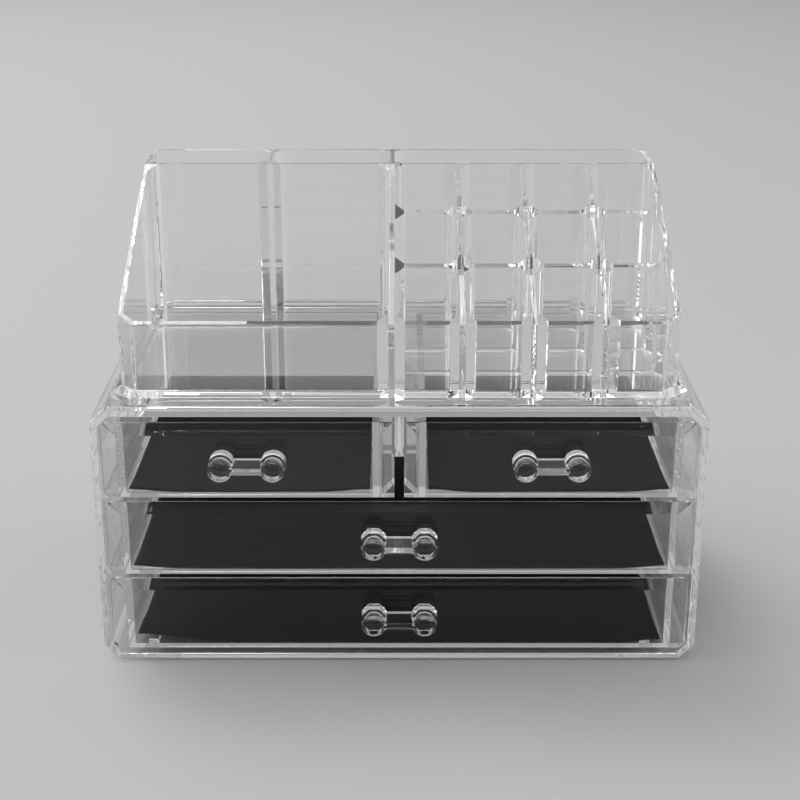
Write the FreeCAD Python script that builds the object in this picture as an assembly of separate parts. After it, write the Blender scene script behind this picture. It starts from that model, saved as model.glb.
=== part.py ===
import FreeCAD, Part
import math
import os

# Makeup stand: a clear case with four drawers, and a loose clear tray that stands on its top.
# Millimetres. +X to the right, +Y to the back, +Z up, origin under the middle of the whole stand.

# Case
case_width = 238.0
case_depth = 136.0
case_wall = 3.0
case_top = 3.8
case_bottom = 3.0
case_corner_cut = 6.0
rim_chamfer = 1.2
back_thickness = 2.5
rail_height = 2.0
rail_width = 4.0
rail_inset = 16.0
shelf_thickness = 1.4
shelf_setback = 8.0
shelf_notch_width = 17.0
shelf_notch_depth = 38.0
ledge_width = 4.5
ledge_height = 2.0
rib_thickness = 2.8
rib_drop = 16.5
rib_setback = 0.6
rib_round = 1.0

# Drawers
panel_height = 31.3
panel_thickness = 2.8
panel_setback = 0.5
panel_corner_cut = 2.0
panel_bevel_height = 6.2
panel_bevel_depth = 1.8
panel_bevel_hip = 5.4
box_inset = 5.8
box_wall = 2.6
box_floor = 1.1
box_back = 2.2
wing_rise = 8.0
wing_thickness = 2.0

# Handles
knob_spacing = 20.0
knob_width = 9.8
knob_length = 5.2
knob_neck_width = 8.0
knob_neck_length = 3.2
knob_face_width = 9.2
knob_face_length = 2.6
knob_face_chamfer = 1.2
web_height = 2.7
web_depth = 10.5
handle_height = 15.2
knob_sides = 8

# Mats
mat_thickness = 0.8
mat_corner_round = 2.0

# Tray
tray_width = 215.0
tray_depth = 120.0
tray_front_height = 31.0
tray_back_height = 73.5
tray_wall = 2.2
tray_floor = 1.8
tray_corner_cut = 5.6
tray_front_setback = 6.5
foot_reach = 4.1
foot_thickness = 3.1
plinth_height = 4.9
foot_corner_cut = 8.0
rear_row_depth = 26.4
pocket_rows = 3
pocket_columns = 4
pocket_width = 25.15
pocket_corner_cut = 3.9
rear_left_width = 49.3
rear_corner_cut = 3.7

# Clearances
slide_gap = 0.2
side_gap = 1.0
top_gap = 2.4
back_gap = 3.0
rib_gap = 0.5
glue_line = 0.1
mat_gap = 0.1
mat_side_gap = 1.3
mat_front_gap = 0.6
mat_back_gap = 2.0
tray_rest_gap = 0.1

# Places worked out from the sizes above
row_gap = shelf_thickness + 2 * slide_gap
row_pitch = panel_height + row_gap
row_base = [case_bottom + rail_height + slide_gap + row * row_pitch for row in range(3)]
inner_top = row_base[2] + panel_height + top_gap
case_height = inner_top + case_top
inner_half = case_width / 2 - case_wall
slant_offset = 2 - math.sqrt(2)
handle_reach = knob_length + knob_neck_length + knob_face_length
handle_proud = handle_reach + glue_line - panel_setback
case_front = -(case_depth - handle_proud) / 2
case_rear = case_front + case_depth
panel_front = case_front + panel_setback
panel_rear = panel_front + panel_thickness
box_front = panel_rear - panel_bevel_depth
inner_rear = case_rear - back_thickness
box_rear = inner_rear - back_gap
shelf_front = case_front + shelf_setback
shelf_level = {"lower_shelf": row_base[1], "upper_shelf": row_base[2]}

# Tray places, along X from the left and along Y from the front
tray_base = case_height + tray_rest_gap
tray_front = case_front + tray_front_setback
tray_rear = tray_front + tray_depth
tray_half = tray_width / 2
rear_wall_front = tray_rear - tray_wall
cross_wall_rear = rear_wall_front - rear_row_depth
cross_wall_front = cross_wall_rear - tray_wall
block_left = tray_half - pocket_columns * (pocket_width + tray_wall)


def prism(outline, travel):
    """A flat outline of points, carried straight along one vector."""
    wire = Part.makePolygon(outline + outline[:1])
    return Part.Face(wire).extrude(travel)


def block(low, high):
    """A box between two opposite corners."""
    size = high - low
    return Part.makeBox(size.x, size.y, size.z, low)


def cut_rectangle(low, high, cut):
    """Corners of a rectangle in two axes with its four corners cut at 45 degrees."""
    (left, bottom), (right, top) = low, high
    return [(left + cut, bottom), (right - cut, bottom), (right, bottom + cut), (right, top - cut),
            (right - cut, top), (left + cut, top), (left, top - cut), (left, bottom + cut)]


def front_outline(low, high, cut, y):
    """A rectangle with cut corners that faces the front, at one depth."""
    return [FreeCAD.Vector(x, y, z) for x, z in cut_rectangle(low, high, cut)]


def plan_outline(low, high, cut, z):
    """A rectangle with cut corners that lies flat, at one height."""
    return [FreeCAD.Vector(x, y, z) for x, y in cut_rectangle(low, high, cut)]


def along_y(length):
    return FreeCAD.Vector(0, length, 0)


def along_z(length):
    return FreeCAD.Vector(0, 0, length)


def fused(solids):
    """One clean solid from solids that meet."""
    return solids[0].fuse(solids[1:]).removeSplitter()


# Case


def case_inside(gap, y, length):
    """The room inside the sleeve, kept one gap clear of its walls."""
    cut = case_corner_cut - slant_offset * case_wall
    low = (-inner_half + gap, case_bottom + gap)
    high = (inner_half - gap, inner_top - gap)
    return prism(front_outline(low, high, cut, y), along_y(length))


def case_shell():
    """Sleeve with slanted corners, two floor rails and a pair of ledges under each shelf."""
    half = case_width / 2
    outline = front_outline((-half, 0), (half, case_height), case_corner_cut, case_front)
    sleeve = prism(outline, along_y(case_depth))
    rim = [edge for edge in sleeve.Edges if edge.BoundBox.YMax < case_front + rim_chamfer]
    shell = sleeve.makeChamfer(rim_chamfer, rim).cut(case_inside(0, case_front, case_depth))
    inner_depth = inner_rear - glue_line - shelf_front
    solids = [shell]
    for side in (-1, 1):
        rail_x = side * (inner_half - rail_inset) - rail_width / 2
        rail_corner = FreeCAD.Vector(rail_x, shelf_front, case_bottom)
        solids.append(Part.makeBox(rail_width, inner_depth, rail_height, rail_corner))
        ledge_x = min(side * inner_half, side * (inner_half - ledge_width))
        for level in shelf_level.values():
            top = level - slide_gap - shelf_thickness - glue_line
            ledge_corner = FreeCAD.Vector(ledge_x, shelf_front, top - ledge_height)
            solids.append(Part.makeBox(ledge_width, inner_depth, ledge_height, ledge_corner))
    return fused(solids)


def case_back():
    """Back plate, set inside the rear end of the sleeve."""
    return case_inside(glue_line, inner_rear, back_thickness)


def shelf(level):
    """Plate that carries one row of drawers on the sleeve's ledges."""
    top = level - slide_gap
    reach = inner_half - glue_line
    low = FreeCAD.Vector(-reach, shelf_front, top - shelf_thickness)
    return block(low, FreeCAD.Vector(reach, inner_rear - glue_line, top))


def notched_shelf(level):
    """The shelf under the small drawers, open in the middle of its front edge."""
    low = FreeCAD.Vector(-shelf_notch_width / 2, shelf_front, level - row_gap)
    high = FreeCAD.Vector(shelf_notch_width / 2, shelf_front + shelf_notch_depth, level)
    return shelf(level).cut(block(low, high))


def guide_rib():
    """Rib under the case top that parts the two small drawers, round at its lower edges."""
    top = inner_top - glue_line
    low = FreeCAD.Vector(-rib_thickness / 2, case_front + rib_setback, top - rib_drop)
    rib = block(low, FreeCAD.Vector(rib_thickness / 2, inner_rear - glue_line, top))
    lower = [edge for edge in rib.Edges if edge.BoundBox.ZMax < top - rib_drop / 2]
    long_edges = [edge for edge in lower if edge.BoundBox.YLength > rib_thickness]
    return rib.makeFillet(rib_round, long_edges)


# Drawers


def beside_rib(end):
    """True for the end of a small drawer that meets the guide rib."""
    return abs(end) < panel_reach / 2


def end_cut(end):
    """Corner cut at one end of a panel: only beside the case's slanted corners."""
    return 0 if beside_rib(end) else panel_corner_cut


def panel(left, right, base):
    """Front plate of a drawer, its rear face bevelled along the top between two slanted ends."""
    top = base + panel_height
    plate = block(FreeCAD.Vector(left, panel_front, base), FreeCAD.Vector(right, panel_rear, top))
    for end, inward in ((left, 1), (right, -1)):
        if not beside_rib(end):
            for corner, turn in ((base, 1), (top, -1)):
                cut = [FreeCAD.Vector(end, panel_front, corner),
                       FreeCAD.Vector(end + inward * panel_corner_cut, panel_front, corner),
                       FreeCAD.Vector(end, panel_front, corner + turn * panel_corner_cut)]
                plate = plate.cut(prism(cut, along_y(panel_thickness)))
    low = top - panel_bevel_height
    bevel = prism([FreeCAD.Vector(left, panel_rear, low), FreeCAD.Vector(left, panel_rear, top),
                   FreeCAD.Vector(left, box_front, top)], FreeCAD.Vector(right - left, 0, 0))
    hips = prism([FreeCAD.Vector(left, panel_front, top), FreeCAD.Vector(right, panel_front, top),
                  FreeCAD.Vector(right - panel_bevel_hip, panel_front, low),
                  FreeCAD.Vector(left + panel_bevel_hip, panel_front, low)], along_y(panel_thickness))
    return plate.cut(bevel.common(hips))


def drawer(left, right, base):
    """Bevelled front panel and an open box on a floor, with a slanted wing at an end beside the rib."""
    top = base + panel_height
    floor = block(FreeCAD.Vector(left + end_cut(left), box_front, base),
                  FreeCAD.Vector(right - end_cut(right), box_rear, base + box_floor))
    back = block(FreeCAD.Vector(left + box_inset, box_rear - box_back, base),
                 FreeCAD.Vector(right - box_inset, box_rear, top))
    solids = [panel(left, right, base), floor, back]
    for end, inward in ((left, 1), (right, -1)):
        outer = end + inward * box_inset
        inner = outer + inward * box_wall
        solids.append(block(FreeCAD.Vector(min(outer, inner), box_front, base),
                            FreeCAD.Vector(max(outer, inner), box_rear, top)))
        if beside_rib(end):
            solids.append(wing(end, outer, base))
    return fused(solids)


def wing(end, foot, base):
    """Slanted brace from the foot of a box side out to the panel's end."""
    length = box_rear - box_front
    reach = abs(end - foot)
    low = base + wing_rise - reach
    depth = wing_thickness * math.sqrt(2)
    outline = [FreeCAD.Vector(foot, box_front, low),
               FreeCAD.Vector(end, box_front, low + reach),
               FreeCAD.Vector(end, box_front, low + reach - depth),
               FreeCAD.Vector(foot, box_front, low - depth)]
    above_floor = block(FreeCAD.Vector(min(end, foot), box_front, base),
                        FreeCAD.Vector(max(end, foot), box_front + length, base + wing_rise))
    return prism(outline, along_y(length)).common(above_floor)


def mat(left, right, base):
    """Thin sheet that lies on a drawer's floor."""
    side = box_inset + box_wall + mat_side_gap
    low = FreeCAD.Vector(left + side, panel_rear + mat_front_gap, base + box_floor + mat_gap)
    high = FreeCAD.Vector(right - side, box_rear - box_back - mat_back_gap, low.z + mat_thickness)
    sheet = block(low, high)
    upright = [edge for edge in sheet.Edges if edge.BoundBox.ZLength > mat_thickness / 2]
    return sheet.makeFillet(mat_corner_round, upright)


# Handles


def knob(x, z, round_body):
    """Knob that points to the front: a round or eight-sided body, a round neck and a round face."""
    foot = panel_front - glue_line
    forward = FreeCAD.Vector(0, -1, 0)
    if round_body:
        body = Part.makeCylinder(knob_width / 2, knob_length, FreeCAD.Vector(x, foot, z), forward)
    else:
        radius = knob_width / 2 / math.cos(math.pi / knob_sides)
        turns = [(side + 0.5) * 2 * math.pi / knob_sides for side in range(knob_sides)]
        body = prism([FreeCAD.Vector(x + radius * math.cos(turn), foot, z + radius * math.sin(turn))
                      for turn in turns], along_y(-knob_length))
    neck_foot = foot - knob_length
    face_foot = neck_foot - knob_neck_length
    neck = Part.makeCylinder(knob_neck_width / 2, knob_neck_length, FreeCAD.Vector(x, neck_foot, z), forward)
    face = Part.makeCylinder(knob_face_width / 2, knob_face_length, FreeCAD.Vector(x, face_foot, z), forward)
    rim = [edge for edge in face.Edges if edge.BoundBox.YMax < face_foot - knob_face_length / 2]
    return body.fuse([neck, face.makeChamfer(knob_face_chamfer, rim)])


def handle(middle, base, round_body):
    """Two knobs joined by a flat web."""
    z = base + handle_height
    foot = panel_front - glue_line
    reach = knob_spacing / 2
    web = block(FreeCAD.Vector(middle - reach, foot - web_depth, z - web_height / 2),
                FreeCAD.Vector(middle + reach, foot, z + web_height / 2))
    return fused([web, knob(middle - reach, z, round_body), knob(middle + reach, z, round_body)])


# Tray


def tray_envelope():
    """The tray's outside: a side profile carried across, level at the back and falling to the front."""
    profile = [(tray_front, 0), (tray_front, tray_front_height), (cross_wall_front, tray_back_height),
               (tray_rear, tray_back_height), (tray_rear, 0)]
    outline = [FreeCAD.Vector(-tray_half, y, tray_base + z) for y, z in profile]
    plan = plan_outline((-tray_half, tray_front), (tray_half, tray_rear), tray_corner_cut, tray_base)
    body = prism(outline, FreeCAD.Vector(tray_width, 0, 0))
    foot = plan_outline((-tray_half - foot_reach, tray_front - foot_reach),
                        (tray_half + foot_reach, tray_rear + foot_reach), foot_corner_cut, tray_base)
    foot_top = [point + along_z(foot_thickness) for point in foot]
    slope_top = [point + along_z(plinth_height) for point in plan]
    slope = Part.makeLoft([Part.makePolygon(foot_top + foot_top[:1]),
                           Part.makePolygon(slope_top + slope_top[:1])], True, True)
    walls = body.common(prism(plan, along_z(tray_back_height)))
    return walls.fuse([prism(foot, along_z(foot_thickness)), slope])


def spread(start, end, count):
    """Equal rooms between two walls, with a tray wall between neighbours."""
    room = (end - start - (count - 1) * tray_wall) / count
    return [(start + place * (room + tray_wall), start + place * (room + tray_wall) + room)
            for place in range(count)]


def tray_rooms():
    """Every compartment of the tray as its name, its span along X, its span along Y and its corner cut."""
    left = -tray_half + tray_wall
    right = tray_half - tray_wall
    block_wall = block_left - tray_wall
    front = tray_front + tray_wall
    rear = (cross_wall_rear, rear_wall_front)
    outer_cut = tray_corner_cut - slant_offset * tray_wall
    split = left + rear_left_width
    rooms = [("large_front", (left, block_wall), (front, cross_wall_front), outer_cut),
             ("rear_left", (left, split), rear, rear_corner_cut),
             ("rear_middle", (split + tray_wall, block_wall), rear, rear_corner_cut),
             ("rear_right", (block_left, right), rear, rear_corner_cut)]
    for column, across in enumerate(spread(block_left, right, pocket_columns), start=1):
        for row, along in enumerate(spread(front, cross_wall_front, pocket_rows), start=1):
            rooms.append((f"pocket_{column}_{row}", across, along, pocket_corner_cut))
    return rooms


def tray():
    """One moulding: the envelope with every compartment sunk into it."""
    solid = tray_envelope()
    level = tray_base + tray_floor
    sinks = [prism(plan_outline((x[0], y[0]), (x[1], y[1]), cut, level), along_z(tray_back_height))
             for name, x, y, cut in tray_rooms()]
    return solid.cut(sinks).removeSplitter()


# The drawers by name: left end, right end, base and whether the knobs are round

panel_reach = inner_half - side_gap
panel_middle = rib_thickness / 2 + rib_gap
drawer_spans = {
    "bottom": (-panel_reach, panel_reach, row_base[0], False),
    "middle": (-panel_reach, panel_reach, row_base[1], False),
    "top_left": (-panel_reach, -panel_middle, row_base[2], True),
    "top_right": (panel_middle, panel_reach, row_base[2], True),
}


def all_nodes():
    nodes = {"case_shell": case_shell(), "case_back": case_back(), "guide_rib": guide_rib(), "tray": tray()}
    nodes["lower_shelf"] = shelf(shelf_level["lower_shelf"])
    nodes["upper_shelf"] = notched_shelf(shelf_level["upper_shelf"])
    for name, (left, right, base, round_body) in drawer_spans.items():
        nodes[f"drawer_{name}"] = drawer(left, right, base)
        nodes[f"handle_{name}"] = handle((left + right) / 2, base, round_body)
        nodes[f"mat_{name}"] = mat(left, right, base)
    return nodes


os.makedirs("parts", exist_ok=True)
for node_name, node_shape in all_nodes().items():
    node_shape.exportStep(f"parts/{node_name}.step")
    print(node_name, len(node_shape.Solids), node_shape.isValid(), round(node_shape.Volume))
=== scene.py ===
import math

import bmesh
import bpy
import numpy as np
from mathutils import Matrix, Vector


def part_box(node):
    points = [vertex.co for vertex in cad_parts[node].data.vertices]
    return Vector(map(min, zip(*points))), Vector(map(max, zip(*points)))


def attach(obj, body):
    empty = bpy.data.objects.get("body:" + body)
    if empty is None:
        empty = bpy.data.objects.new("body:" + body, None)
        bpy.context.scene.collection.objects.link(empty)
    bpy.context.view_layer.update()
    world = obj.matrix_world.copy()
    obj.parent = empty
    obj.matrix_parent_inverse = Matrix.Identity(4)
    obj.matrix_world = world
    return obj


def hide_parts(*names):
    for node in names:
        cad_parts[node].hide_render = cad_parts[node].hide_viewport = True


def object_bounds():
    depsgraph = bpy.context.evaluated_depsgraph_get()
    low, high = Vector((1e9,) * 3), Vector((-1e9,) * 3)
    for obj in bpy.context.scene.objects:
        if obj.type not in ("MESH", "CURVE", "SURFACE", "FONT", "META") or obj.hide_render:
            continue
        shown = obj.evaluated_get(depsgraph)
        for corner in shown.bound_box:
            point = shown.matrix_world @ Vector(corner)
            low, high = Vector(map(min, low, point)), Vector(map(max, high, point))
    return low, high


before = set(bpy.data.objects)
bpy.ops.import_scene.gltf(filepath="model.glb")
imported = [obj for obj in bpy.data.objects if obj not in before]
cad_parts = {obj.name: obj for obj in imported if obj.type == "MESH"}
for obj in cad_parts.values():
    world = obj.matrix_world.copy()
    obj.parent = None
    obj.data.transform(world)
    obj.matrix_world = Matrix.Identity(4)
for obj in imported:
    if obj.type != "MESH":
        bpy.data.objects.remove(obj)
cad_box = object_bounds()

# Metres and watts. The stand is clear plastic, so most pieces are the solids with their moulded
# edges rounded.

DRAWERS = ("bottom", "middle", "top_left", "top_right")
CASE_PLATES = ("case_back", "guide_rib", "lower_shelf", "upper_shelf")

# Camera, fitted to the corners of the case and the tray
CAMERA_PLACE = (0.0003, -0.6386, 0.3264)
CAMERA_TILT_DOWN = math.radians(20.41)
CAMERA_LENS = 72.7
CAMERA_SENSOR = 36.0

# Plastic
PLASTIC_IOR = 1.49
PLASTIC_TINT = (0.985, 0.985, 0.985, 1)
OUTER_GLOSS = 1.0
DRAWER_GLOSS = 0.5  # less than real plastic has, so that the mats stay dark through the fronts
HANDLE_GLOSS = 0.45
SHADOW_TINT = (0.84, 0.84, 0.84, 1)
BASE_SHADOW_TINT = (0.25, 0.25, 0.25, 1)
BASE_PLATE_TOP = 0.0035

# Handling marks: roughness of clean plastic, and how much the smears add
CLEAN_POLISH = 0.0
CASE_SMEAR = 0.012
WALL_SMEAR = 0.01
HANDLE_SMEAR = 0.008
SMEAR_SCALE = 38.0
SMEAR_DETAIL = 3.0
SMEAR_CONTRAST = 4.0

# Rounded edges
MOULDED_EDGE = 0.0003
PLATE_EDGE = 0.00018
EDGE_STEPS = 3
SHARP_ANGLE = math.radians(28)
FLAT_ANGLE = math.radians(0.5)
SAME_POINT = 1e-6

# Mats
MAT_THICKNESS = 0.0006
MAT_GRID = (96, 64)
MAT_WAVE = 0.00006
MAT_WAVE_BASE = 1.5  # lifts the lowest wave to the level of a flat mat
LONG_WAVE = (7, 5)  # across and along
SHORT_WAVE = (17, 9)
SHORT_WAVE_SHARE = 0.5
MAT_SEED = 3
SMALL_CURL = (0.0013, 0.010)  # lift and reach
LARGE_CURL = (0.0038, 0.022)
MAT_BLACK = (0.0030, 0.0030, 0.0031, 1)
MAT_ROUGHNESS = 0.82
MAT_SHEEN = 0.12
GRAIN_SCALE = 2600.0
GRAIN_DETAIL = 2.0
GRAIN_TONE = (0.7, 0.75)  # strength and base
GRAIN_STRENGTH = 0.4
GRAIN_HEIGHT = 0.0001
RUB_SCALE = 45.0
RUB_DETAIL = 4.0
RUB_TONE = (1.1, 0.55)  # strength and base

# Room
FLOOR_SIZE = 14.0
FLOOR_GAP = 0.0002
FLOOR_COLOUR = (0.595, 0.595, 0.595, 1)
FLOOR_ROUGHNESS = 0.9
FLOOR_SHEEN = 0.1
SKY_LOW = (0.30, 0.30, 0.30, 1)
SKY_MIDDLE = (0.34, 0.34, 0.34, 1)
SKY_MIDDLE_HEIGHT = 0.55
SKY_TOP = (0.78, 0.78, 0.78, 1)
CAMERA_SIDE_DIM = (0.2, 0.2, 0.2, 1)
CAMERA_SIDE_FROM, CAMERA_SIDE_TO = 0.12, 0.5

# Lamps: name, place, target, width and height, power
LAMPS = (
    ("overhead_left", (-0.95, 1.6, 2.3), (-0.1, 1.3, 0.0), (1.4, 1.4), 30),
    ("overhead_front", (-0.3, -1.35, 2.0), (0, -0.1, 0), (1.6, 0.9), 9),
    ("left_window", (-1.40, -0.05, 0.64), (0, 0, 0.1), (1.0, 0.8), 5.5),
    ("right_window", (1.40, -0.05, 0.64), (0, 0, 0.1), (1.0, 0.8), 3.0),
)

# Light has to pass many walls of clear plastic
LIGHT_BOUNCES = 128
SHADOW_PASSES = 64


# Node helpers


def new_node(tree, kind, **settings):
    """Adds one node and sets its plain properties."""
    node = tree.nodes.new(kind)
    for name, value in settings.items():
        setattr(node, name, value)
    return node


def maths(tree, operation, *values):
    """One maths node on plain values or sockets."""
    node = new_node(tree, "ShaderNodeMath", operation=operation)
    for socket, value in zip(node.inputs, values):
        if isinstance(value, bpy.types.NodeSocket):
            tree.links.new(value, socket)
        else:
            socket.default_value = value
    return node.outputs[0]


def noise(tree, vector, scale, detail):
    """Noise between 0 and 1 on the given coordinates."""
    node = new_node(tree, "ShaderNodeTexNoise")
    node.inputs["Scale"].default_value = scale
    node.inputs["Detail"].default_value = detail
    tree.links.new(vector, node.inputs["Vector"])
    return node.outputs["Fac"]


def handling_marks_group():
    """Faint smears on moulded plastic, as a roughness that rises in soft patches."""
    group = bpy.data.node_groups.new("handling_marks", "ShaderNodeTree")
    sockets = group.interface
    sockets.new_socket("Vector", in_out="INPUT", socket_type="NodeSocketVector")
    for name in ("Polish", "Smear"):
        sockets.new_socket(name, in_out="INPUT", socket_type="NodeSocketFloat")
    sockets.new_socket("Roughness", in_out="OUTPUT", socket_type="NodeSocketFloat")
    start = new_node(group, "NodeGroupInput")
    end = new_node(group, "NodeGroupOutput")
    patches = noise(group, start.outputs["Vector"], SMEAR_SCALE, SMEAR_DETAIL)
    smear = maths(group, "POWER", patches, SMEAR_CONTRAST)
    roughness = maths(group, "MULTIPLY_ADD", smear, start.outputs["Smear"], start.outputs["Polish"])
    group.links.new(roughness, end.inputs["Roughness"])
    return group


def new_material(name):
    """A material with an empty tree, its output and a Principled shader."""
    material = bpy.data.materials.new(name)
    material.use_nodes = True
    tree = material.node_tree
    tree.nodes.clear()
    output = new_node(tree, "ShaderNodeOutputMaterial")
    shader = new_node(tree, "ShaderNodeBsdfPrincipled")
    return material, tree, output, shader


def clear_plastic(name, marks, gloss, smear):
    """Clear moulded plastic with faint handling marks.

    It lets the light of the lamps through, less so close to the floor.
    """
    material, tree, output, shader = new_material(name)
    shader.inputs["Base Color"].default_value = PLASTIC_TINT
    shader.inputs["Transmission Weight"].default_value = 1.0
    shader.inputs["IOR"].default_value = PLASTIC_IOR
    shader.inputs["Specular Tint"].default_value = (gloss, gloss, gloss, 1)
    place = new_node(tree, "ShaderNodeTexCoord")
    wear = new_node(tree, "ShaderNodeGroup", node_tree=marks)
    wear.inputs["Polish"].default_value = CLEAN_POLISH
    wear.inputs["Smear"].default_value = smear
    tree.links.new(place.outputs["Object"], wear.inputs["Vector"])
    tree.links.new(wear.outputs["Roughness"], shader.inputs["Roughness"])
    light = new_node(tree, "ShaderNodeLightPath")
    split = new_node(tree, "ShaderNodeSeparateXYZ")
    tree.links.new(place.outputs["Object"], split.inputs["Vector"])
    low = maths(tree, "LESS_THAN", split.outputs["Z"], BASE_PLATE_TOP)
    shadow = new_node(tree, "ShaderNodeMix", data_type="RGBA")
    shadow.inputs["A"].default_value = SHADOW_TINT
    shadow.inputs["B"].default_value = BASE_SHADOW_TINT
    tree.links.new(low, shadow.inputs["Factor"])
    through = new_node(tree, "ShaderNodeBsdfTransparent")
    tree.links.new(shadow.outputs["Result"], through.inputs["Color"])
    mix = new_node(tree, "ShaderNodeMixShader")
    tree.links.new(light.outputs["Is Shadow Ray"], mix.inputs["Fac"])
    tree.links.new(shader.outputs["BSDF"], mix.inputs[1])
    tree.links.new(through.outputs["BSDF"], mix.inputs[2])
    tree.links.new(mix.outputs["Shader"], output.inputs["Surface"])
    return material


def black_mat(name):
    """Thin matte black sheet with a fine felted grain and a few lighter rubs."""
    material, tree, output, shader = new_material(name)
    place = new_node(tree, "ShaderNodeTexCoord")
    grain = noise(tree, place.outputs["Object"], GRAIN_SCALE, GRAIN_DETAIL)
    rubs = noise(tree, place.outputs["Object"], RUB_SCALE, RUB_DETAIL)
    rub_tone = maths(tree, "MULTIPLY_ADD", rubs, *RUB_TONE)
    grain_tone = maths(tree, "MULTIPLY_ADD", grain, *GRAIN_TONE)
    tone = maths(tree, "MULTIPLY", rub_tone, grain_tone)
    colour = new_node(tree, "ShaderNodeMix", data_type="RGBA", blend_type="MULTIPLY")
    colour.inputs["Factor"].default_value = 1.0
    colour.inputs["A"].default_value = MAT_BLACK
    tree.links.new(tone, colour.inputs["B"])
    tree.links.new(colour.outputs["Result"], shader.inputs["Base Color"])
    shader.inputs["Roughness"].default_value = MAT_ROUGHNESS
    shader.inputs["Specular IOR Level"].default_value = MAT_SHEEN
    bump = new_node(tree, "ShaderNodeBump")
    bump.inputs["Strength"].default_value = GRAIN_STRENGTH
    bump.inputs["Distance"].default_value = GRAIN_HEIGHT
    tree.links.new(grain, bump.inputs["Height"])
    tree.links.new(bump.outputs["Normal"], shader.inputs["Normal"])
    tree.links.new(shader.outputs["BSDF"], output.inputs["Surface"])
    return material


# Pieces


def show(name, mesh, body, node, material):
    """Puts a finished mesh into the scene in place of one CAD node."""
    piece = bpy.data.objects.new(name, mesh)
    bpy.context.scene.collection.objects.link(piece)
    mesh.materials.clear()
    mesh.materials.append(material)
    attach(piece, body)
    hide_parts(node)
    return piece


def moulded_copy(node, name, body, material, edge, held_back=True):
    """A node's solid with its loose triangles joined and its sharp edges rounded, as a mould leaves them.

    held_back keeps the guard against overlapping rounding. The case and the tray do without it.
    """
    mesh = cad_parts[node].data.copy()
    mesh.name = name
    work = bmesh.new()
    work.from_mesh(mesh)
    bmesh.ops.remove_doubles(work, verts=work.verts, dist=SAME_POINT)
    bmesh.ops.dissolve_limit(work, angle_limit=FLAT_ANGLE, verts=work.verts, edges=work.edges)
    for line in work.edges:
        line.smooth = line.calc_face_angle(0.0) > SHARP_ANGLE
    work.to_mesh(mesh)
    work.free()
    if "custom_normal" in mesh.attributes:
        mesh.attributes.remove(mesh.attributes["custom_normal"])
    mesh.shade_smooth()
    piece = show(name, mesh, body, node, material)
    bevel = piece.modifiers.new("moulded_edge", "BEVEL")
    bevel.width = edge
    bevel.segments = EDGE_STEPS
    bevel.harden_normals = True
    bevel.use_clamp_overlap = held_back
    bevel.limit_method = "ANGLE"
    bevel.angle_limit = SHARP_ANGLE
    return piece


def turned_copy(node, name, body, material, edge):
    """A moulded copy whose round faces run smooth and whose flat faces stay flat."""
    piece = moulded_copy(node, name, body, material, edge)
    piece.modifiers["moulded_edge"].harden_normals = False
    piece.modifiers.new("true_faces", "WEIGHTED_NORMAL")


def mat_sheet(name, node, body, material, curls, seed):
    """A laid sheet: a flat grid that lifts in soft waves and curls up at its two front corners."""
    low, high = (np.array(corner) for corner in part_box(node))
    across, along = MAT_GRID
    u, v = np.meshgrid(np.linspace(0, 1, across), np.linspace(0, 1, along))
    x = low[0] + u * (high[0] - low[0])
    y = low[1] + v * (high[1] - low[1])
    phase = np.random.default_rng(seed).uniform(0, 2 * math.pi, 4)
    long_waves = np.sin(LONG_WAVE[0] * u + phase[0]) * np.sin(LONG_WAVE[1] * v + phase[1])
    short_waves = np.sin(SHORT_WAVE[0] * u + phase[2]) * np.sin(SHORT_WAVE[1] * v + phase[3])
    waves = long_waves + SHORT_WAVE_SHARE * short_waves
    z = low[2] + MAT_THICKNESS + MAT_WAVE * (MAT_WAVE_BASE + waves)
    for corner_x, (lift, reach) in zip((low[0], high[0]), curls):
        z += lift * np.exp(-((x - corner_x) ** 2 + (y - low[1]) ** 2) / reach ** 2)
    points = np.stack([x, y, z], axis=-1).reshape(-1, 3)
    corner = (np.arange(along - 1)[:, None] * across + np.arange(across - 1)[None, :]).ravel()
    faces = np.stack([corner, corner + 1, corner + across + 1, corner + across], axis=-1)
    mesh = bpy.data.meshes.new(name)
    mesh.from_pydata(points.tolist(), [], faces.tolist())
    mesh.shade_smooth()
    piece = show(name, mesh, body, node, material)
    wall = piece.modifiers.new("sheet", "SOLIDIFY")
    wall.thickness = MAT_THICKNESS
    wall.offset = -1.0


# Build

marks = handling_marks_group()
case_clear = clear_plastic("case_plastic", marks, OUTER_GLOSS, CASE_SMEAR)
drawer_clear = clear_plastic("drawer_plastic", marks, DRAWER_GLOSS, WALL_SMEAR)
tray_clear = clear_plastic("tray_plastic", marks, OUTER_GLOSS, WALL_SMEAR)
handle_clear = clear_plastic("handle_plastic", marks, HANDLE_GLOSS, HANDLE_SMEAR)
mat_black = black_mat("mat_felt")

node_finish = {"case_shell": case_clear, "tray": tray_clear}
node_finish.update({plate: case_clear for plate in CASE_PLATES})
for drawer in DRAWERS:
    node_finish.update({f"drawer_{drawer}": drawer_clear, f"handle_{drawer}": handle_clear,
                        f"mat_{drawer}": mat_black})
for node, finish in node_finish.items():
    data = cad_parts[node].data
    data.materials.clear()
    data.materials.append(finish)

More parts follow.
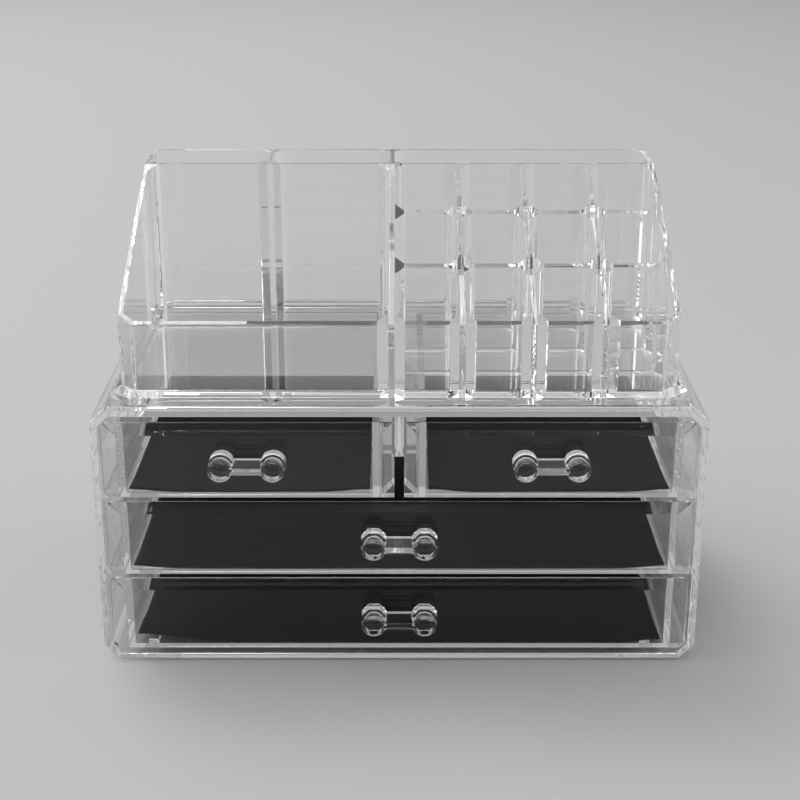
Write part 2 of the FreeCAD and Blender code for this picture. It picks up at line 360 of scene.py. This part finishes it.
moulded_copy("case_shell", "case_sleeve", "case", case_clear,
             MOULDED_EDGE, held_back=False)
moulded_copy("tray", "tray_moulding", "tray", tray_clear,
             MOULDED_EDGE, held_back=False)
for plate in CASE_PLATES:
    moulded_copy(plate, f"{plate}_plate", "case", case_clear, PLATE_EDGE)
for place, drawer in enumerate(DRAWERS):
    body = f"{drawer}_drawer"
    moulded_copy(f"drawer_{drawer}", f"{drawer}_drawer_moulding", body,
                 drawer_clear, MOULDED_EDGE)
    turned_copy(f"handle_{drawer}", f"{drawer}_handle_moulding", body,
                handle_clear, MOULDED_EDGE)
    curls = (LARGE_CURL if drawer == "bottom" else SMALL_CURL, SMALL_CURL)
    mat_sheet(f"{drawer}_mat_sheet", f"mat_{drawer}", body, mat_black, curls,
              seed=place + MAT_SEED)


# Room: pale floor, soft light and the photograph's camera


def floor_plane():
    """A wide flat floor just under the stand."""
    half = FLOOR_SIZE / 2
    height = cad_box[0][2] - FLOOR_GAP
    corners = [(x, y, height) for x, y in ((-half, -half), (half, -half), (half, half), (-half, half))]
    mesh = bpy.data.meshes.new("floor")
    mesh.from_pydata(corners, [], [(0, 1, 2, 3)])
    floor = bpy.data.objects.new("floor", mesh)
    bpy.context.scene.collection.objects.link(floor)
    material, tree, output, shader = new_material("floor_paper")
    shader.inputs["Base Color"].default_value = FLOOR_COLOUR
    shader.inputs["Roughness"].default_value = FLOOR_ROUGHNESS
    shader.inputs["Specular IOR Level"].default_value = FLOOR_SHEEN
    tree.links.new(shader.outputs["BSDF"], output.inputs["Surface"])
    mesh.materials.append(material)


def soft_lamp(name, place, target, size, power):
    """A rectangular soft box at a place, turned to a target."""
    data = bpy.data.lights.new(name, "AREA")
    data.shape = "RECTANGLE"
    data.size, data.size_y = size
    data.energy = power
    lamp = bpy.data.objects.new(name, data)
    lamp.location = place
    aim = Vector(target) - Vector(place)
    lamp.rotation_euler = aim.to_track_quat("-Z", "Y").to_euler()
    bpy.context.scene.collection.objects.link(lamp)


def studio_world():
    """Grey studio: dim at the level of the floor, brighter overhead, dark on the camera's side."""
    world = bpy.data.worlds.new("studio")
    bpy.context.scene.world = world
    world.use_nodes = True
    tree = world.node_tree
    tree.nodes.clear()
    output = new_node(tree, "ShaderNodeOutputWorld")
    sky = new_node(tree, "ShaderNodeBackground")
    place = new_node(tree, "ShaderNodeTexCoord")
    split = new_node(tree, "ShaderNodeSeparateXYZ")
    tree.links.new(place.outputs["Generated"], split.inputs["Vector"])
    upward = new_node(tree, "ShaderNodeValToRGB")
    upward.color_ramp.elements[0].color = SKY_LOW
    upward.color_ramp.elements[1].color = SKY_TOP
    upward.color_ramp.elements.new(SKY_MIDDLE_HEIGHT).color = SKY_MIDDLE
    tree.links.new(split.outputs["Z"], upward.inputs["Fac"])
    depth = maths(tree, "MULTIPLY_ADD", split.outputs["Y"], 0.5, 0.5)
    backward = new_node(tree, "ShaderNodeValToRGB")
    backward.color_ramp.elements[0].position = CAMERA_SIDE_FROM
    backward.color_ramp.elements[0].color = CAMERA_SIDE_DIM
    backward.color_ramp.elements[1].position = CAMERA_SIDE_TO
    tree.links.new(depth, backward.inputs["Fac"])
    both = new_node(tree, "ShaderNodeMix", data_type="RGBA", blend_type="MULTIPLY")
    both.inputs["Factor"].default_value = 1.0
    tree.links.new(upward.outputs["Color"], both.inputs["A"])
    tree.links.new(backward.outputs["Color"], both.inputs["B"])
    tree.links.new(both.outputs["Result"], sky.inputs["Color"])
    tree.links.new(sky.outputs["Background"], output.inputs["Surface"])


def photograph_camera():
    """Camera at the photograph's viewing angle."""
    data = bpy.data.cameras.new("camera")
    data.sensor_fit = "HORIZONTAL"
    data.sensor_width = CAMERA_SENSOR
    data.lens = CAMERA_LENS
    camera = bpy.data.objects.new("camera", data)
    camera.location = CAMERA_PLACE
    camera.rotation_euler = (math.pi / 2 - CAMERA_TILT_DOWN, 0, 0)
    bpy.context.scene.collection.objects.link(camera)
    bpy.context.scene.camera = camera


floor_plane()
for lamp in LAMPS:
    soft_lamp(*lamp)
studio_world()
photograph_camera()

scene = bpy.context.scene
scene.view_settings.view_transform = "Standard"
scene.cycles.max_bounces = LIGHT_BOUNCES
scene.cycles.transmission_bounces = LIGHT_BOUNCES
scene.cycles.glossy_bounces = LIGHT_BOUNCES
scene.cycles.transparent_max_bounces = SHADOW_PASSES
